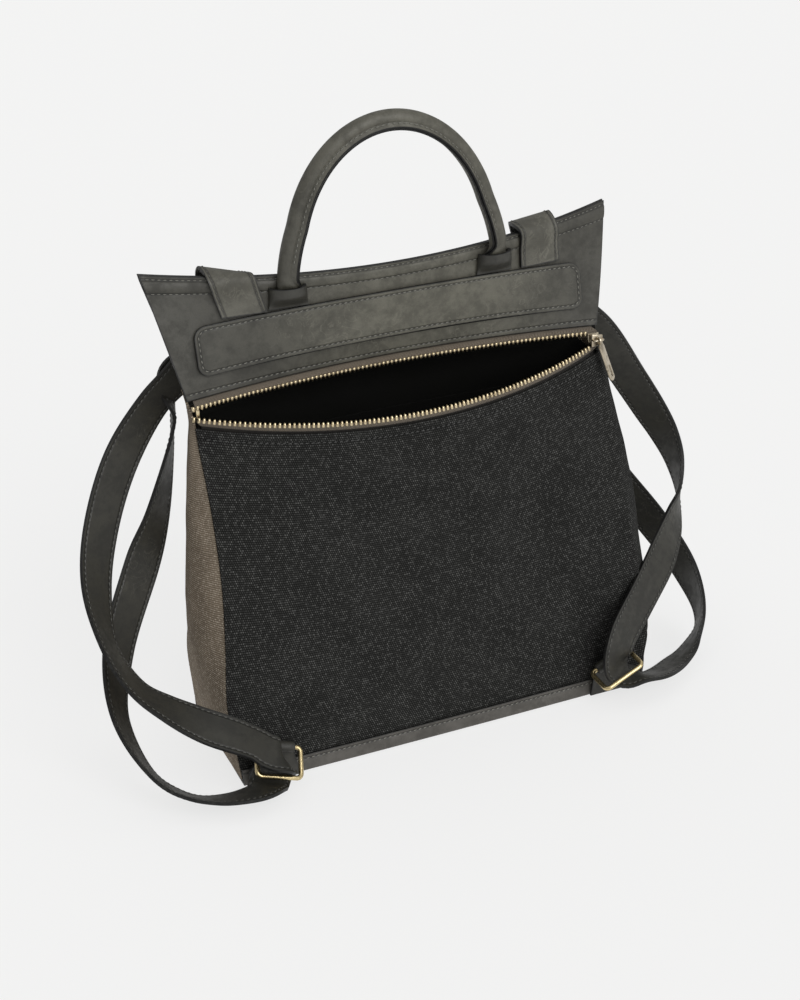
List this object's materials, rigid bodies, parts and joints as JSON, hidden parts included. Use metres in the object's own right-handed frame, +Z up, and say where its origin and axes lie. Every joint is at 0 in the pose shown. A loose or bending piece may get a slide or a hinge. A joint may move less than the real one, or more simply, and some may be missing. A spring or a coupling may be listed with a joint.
{
  "type": "anti-theft backpack",
  "caption": "Upright canvas backpack, pinched at the top, with a leather yoke, rolled carry handle, open zip on the wearer's side and looped shoulder straps held by wire rings.",
  "frame": {"origin": "middle of the base's underside, where the bag stands", "axes": "+X to the right seen from the zip side, +Y from the zip side to the far side, +Z up"},
  "size_m": [0.4593, 0.1678, 0.4256],
  "materials": {
    "charcoal_canvas": "coarse washed canvas with pale flecks",
    "taupe_canvas": "coarse washed canvas",
    "nubuck": "mottled matt nubuck, stitched",
    "strap_leather": "matt nubuck with painted edges",
    "lining_cloth": "plain black weave",
    "zip_tape": "herringbone tape",
    "brass": "antique, slightly worn"
  },
  "bodies": {
    "bag": {"front_panel": "charcoal_canvas", "back_panel": "taupe_canvas", "gusset_left": "taupe_canvas", "gusset_right": "charcoal_canvas", "lining": "lining_cloth", "base": "nubuck", "yoke_front": "nubuck", "yoke_back": "nubuck", "patch": "nubuck", "handle": "nubuck", "handle_tab_left": "nubuck", "handle_tab_right": "nubuck", "zip_tape_upper": "zip_tape", "zip_tape_lower": "zip_tape", "zip_teeth_upper": "brass", "zip_teeth_lower": "brass", "zip_stop": "brass", "zip_slider": "brass", "strap_left": "strap_leather", "strap_right": "strap_leather", "strap_keeper_left": "brass", "strap_keeper_right": "brass", "ring_left": "brass", "ring_right": "brass", "corner_tab_left": "nubuck", "corner_tab_right": "nubuck"},
    "pull": {"zip_pull": "brass"}
  },
  "joints": [
    {"name": "pull_hinge", "type": "hinge", "parent": "bag", "child": "pull", "pos_m": [0.14257, -0.02005, 0.24913], "axis": [-1, 0, 0], "range_deg": [0, 130]}
  ]
}
